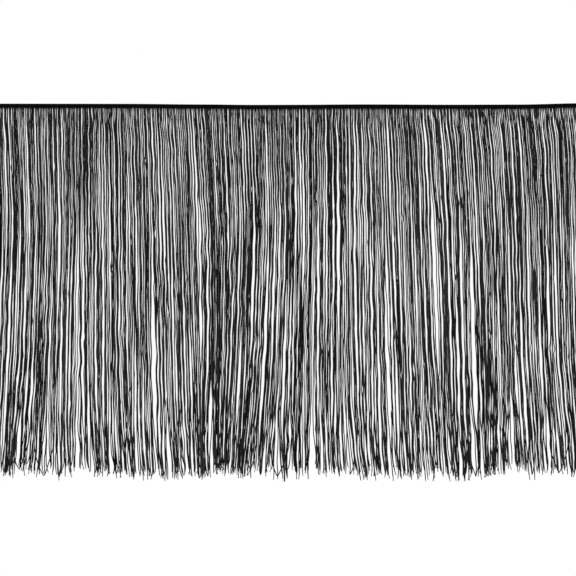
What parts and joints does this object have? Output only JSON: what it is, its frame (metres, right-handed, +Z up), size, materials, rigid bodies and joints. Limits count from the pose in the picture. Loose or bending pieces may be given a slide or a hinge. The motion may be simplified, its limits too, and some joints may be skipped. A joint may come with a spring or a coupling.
{
  "type": "tassel fringe trim",
  "caption": "Hanging curtain of loose yarns on a narrow crocheted heading, sewn along an edge as a swinging border.",
  "frame": {"origin": "middle of the heading's top edge, where the trim is held", "axes": "+X along the trim, to the right seen from its face; -Y is the face and +Y the flat back that is sewn on; +Z up, against the hang"},
  "size_m": [0.7522, 0.0044, 0.4588],
  "materials": {
    "heading_yarn": "matte crocheted black yarn",
    "fringe_yarn": "black chainette yarn with a soft sheen"
  },
  "bodies": {
    "root": {"heading": "heading_yarn", "fringe": "fringe_yarn"}
  },
  "joints": []
}
